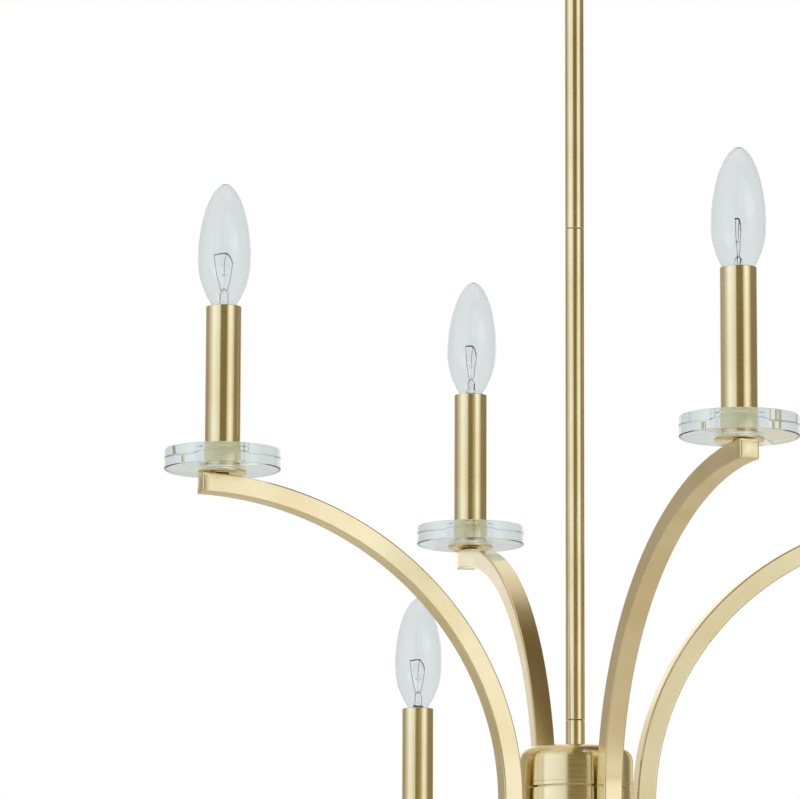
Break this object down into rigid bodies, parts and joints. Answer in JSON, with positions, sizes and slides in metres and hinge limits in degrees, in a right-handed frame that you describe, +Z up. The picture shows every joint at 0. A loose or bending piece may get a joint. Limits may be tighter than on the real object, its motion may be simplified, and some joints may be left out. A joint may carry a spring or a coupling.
{
  "type": "tiered candle chandelier",
  "caption": "Tiered candle chandelier: square curved arms from round hubs on a rigid rod stem, with clear glass discs, tube candle sleeves and torpedo bulbs under a swivel canopy.",
  "frame": {"origin": "middle of the ceiling plane that the canopy's rim and the crossbar lie against", "axes": "+Z up out of the ceiling fitting, so the chandelier hangs along -Z; -Y is the front, and +X is its right as seen from the front"},
  "size_m": [0.8494, 0.8512, 1.0416],
  "materials": {
    "brushed_brass": "brushed satin, pale champagne tone",
    "plated_steel": "zinc plated",
    "crystal_glass": "clear, polished",
    "bulb_glass": "clear, blown",
    "black_resin": "moulded"
  },
  "bodies": {
    "ceiling_fitting": {"ceiling_crossbar": "plated_steel", "canopy": "brushed_brass", "canopy_collar": "brushed_brass"},
    "swivel_yoke": {"swivel_yoke": "brushed_brass"},
    "fixture": {"swivel_knuckle": "brushed_brass", "rod_upper": "brushed_brass", "rod_lower": "brushed_brass", "upper_hub_cap": "brushed_brass", "upper_hub_body": "brushed_brass", "centre_column": "brushed_brass", "lower_hub": "brushed_brass", "bottom_finial": "brushed_brass", "upper_front_arm": "brushed_brass", "upper_front_cup": "brushed_brass", "upper_front_glass_disc": "crystal_glass", "upper_front_sleeve": "brushed_brass", "upper_front_socket": "black_resin", "upper_right_arm": "brushed_brass", "upper_right_cup": "brushed_brass", "upper_right_glass_disc": "crystal_glass", "upper_right_sleeve": "brushed_brass", "upper_right_socket": "black_resin", "upper_back_arm": "brushed_brass", "upper_back_cup": "brushed_brass", "upper_back_glass_disc": "crystal_glass", "upper_back_sleeve": "brushed_brass", "upper_back_socket": "black_resin", "upper_left_arm": "brushed_brass", "upper_left_cup": "brushed_brass", "upper_left_glass_disc": "crystal_glass", "upper_left_sleeve": "brushed_brass", "upper_left_socket": "black_resin", "lower_front_arm": "brushed_brass", "lower_front_cup": "brushed_brass", "lower_front_glass_disc": "crystal_glass", "lower_front_sleeve": "brushed_brass", "lower_front_socket": "black_resin", "lower_right_arm": "brushed_brass", "lower_right_cup": "brushed_brass", "lower_right_glass_disc": "crystal_glass", "lower_right_sleeve": "brushed_brass", "lower_right_socket": "black_resin", "lower_back_arm": "brushed_brass", "lower_back_cup": "brushed_brass", "lower_back_glass_disc": "crystal_glass", "lower_back_sleeve": "brushed_brass", "lower_back_socket": "black_resin", "lower_left_arm": "brushed_brass", "lower_left_cup": "brushed_brass", "lower_left_glass_disc": "crystal_glass", "lower_left_sleeve": "brushed_brass", "lower_left_socket": "black_resin"},
    "upper_front_bulb": {"upper_front_bulb": "bulb_glass"},
    "upper_right_bulb": {"upper_right_bulb": "bulb_glass"},
    "upper_back_bulb": {"upper_back_bulb": "bulb_glass"},
    "upper_left_bulb": {"upper_left_bulb": "bulb_glass"},
    "lower_front_bulb": {"lower_front_bulb": "bulb_glass"},
    "lower_right_bulb": {"lower_right_bulb": "bulb_glass"},
    "lower_back_bulb": {"lower_back_bulb": "bulb_glass"},
    "lower_left_bulb": {"lower_left_bulb": "bulb_glass"}
  },
  "joints": [
    {"name": "swivel_turn", "type": "hinge", "parent": "ceiling_fitting", "child": "swivel_yoke", "pos_m": [0, 0, -0.0336], "axis": [0, 0, 1], "range_deg": [-170, 170]},
    {"name": "swivel_tilt", "type": "hinge", "parent": "swivel_yoke", "child": "fixture", "pos_m": [0, 0, -0.0506], "axis": [1, 0, 0], "range_deg": [-25, 25]},
    {"name": "upper_front_bulb_out", "type": "slide", "parent": "fixture", "child": "upper_front_bulb", "axis": [0, 0, 1], "range_m": [0, 0.025]},
    {"name": "upper_right_bulb_out", "type": "slide", "parent": "fixture", "child": "upper_right_bulb", "axis": [0, 0, 1], "range_m": [0, 0.025]},
    {"name": "upper_back_bulb_out", "type": "slide", "parent": "fixture", "child": "upper_back_bulb", "axis": [0, 0, 1], "range_m": [0, 0.025]},
    {"name": "upper_left_bulb_out", "type": "slide", "parent": "fixture", "child": "upper_left_bulb", "axis": [0, 0, 1], "range_m": [0, 0.025]},
    {"name": "lower_front_bulb_out", "type": "slide", "parent": "fixture", "child": "lower_front_bulb", "axis": [0, 0, 1], "range_m": [0, 0.025]},
    {"name": "lower_right_bulb_out", "type": "slide", "parent": "fixture", "child": "lower_right_bulb", "axis": [0, 0, 1], "range_m": [0, 0.025]},
    {"name": "lower_back_bulb_out", "type": "slide", "parent": "fixture", "child": "lower_back_bulb", "axis": [0, 0, 1], "range_m": [0, 0.025]},
    {"name": "lower_left_bulb_out", "type": "slide", "parent": "fixture", "child": "lower_left_bulb", "axis": [0, 0, 1], "range_m": [0, 0.025]}
  ]
}
